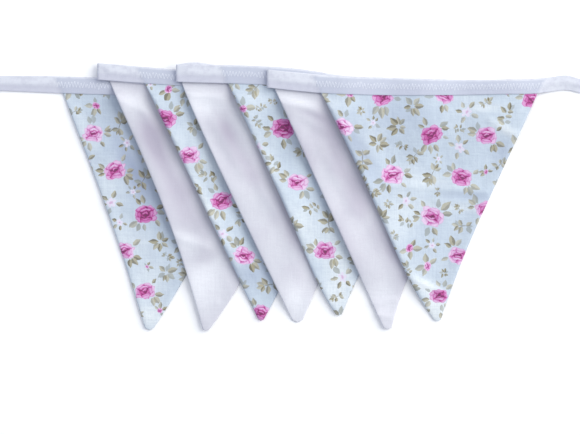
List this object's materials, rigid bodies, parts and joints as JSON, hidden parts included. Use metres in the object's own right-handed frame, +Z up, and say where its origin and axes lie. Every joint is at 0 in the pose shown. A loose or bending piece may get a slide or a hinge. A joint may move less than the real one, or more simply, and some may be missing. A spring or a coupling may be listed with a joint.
{
  "type": "fabric bunting",
  "caption": "String of triangular cotton pennants, floral and plain by turns, sewn into a folded bias tape and laid flat, gathered back and forth.",
  "frame": {"origin": "centre of the outline, on the surface that the bunting lies on", "axes": "+X along the tape, towards its top end in the pile; +Y from the points to the tape; +Z up, off the surface"},
  "size_m": [0.5166, 0.2197, 0.0202],
  "materials": {
    "bias_tape": "white folded bias tape, matt",
    "floral_cotton": "pale blue printed cotton, matt",
    "white_cotton": "plain white cotton with a soft sheen"
  },
  "bodies": {
    "root": {"tape": "bias_tape", "pennant_1": "floral_cotton", "pennant_2": "white_cotton", "pennant_3": "floral_cotton", "pennant_4": "white_cotton", "pennant_5": "floral_cotton", "pennant_6": "white_cotton", "pennant_7": "floral_cotton"}
  },
  "joints": []
}
